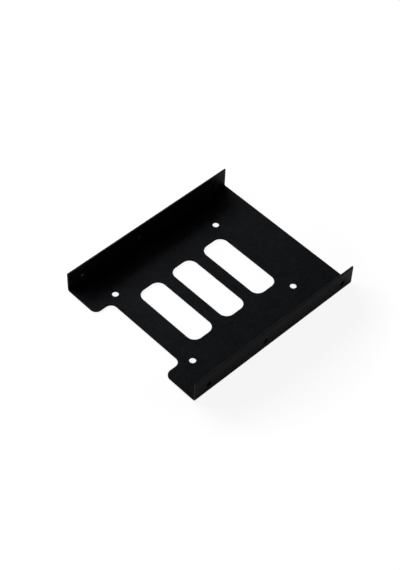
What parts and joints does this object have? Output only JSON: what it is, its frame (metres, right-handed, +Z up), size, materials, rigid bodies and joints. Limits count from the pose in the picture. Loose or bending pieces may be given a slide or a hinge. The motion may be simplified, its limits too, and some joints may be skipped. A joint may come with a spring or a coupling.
{
  "type": "drive bay adapter bracket",
  "caption": "Folded steel tray that carries a small drive in a larger drive bay, with long windows in its floor and screw holes in its floor and raised sides.",
  "frame": {"origin": "underside of the floor, at the middle of the bracket's box", "axes": "+X across the bracket from one flange to the other, +Y from the notched front edge to the plain back edge, +Z up, the way the flanges stand"},
  "size_m": [0.1016, 0.1196, 0.0142],
  "materials": {
    "black_coat": "satin black baked coat on steel"
  },
  "bodies": {
    "root": {"bracket": "black_coat"}
  },
  "joints": []
}
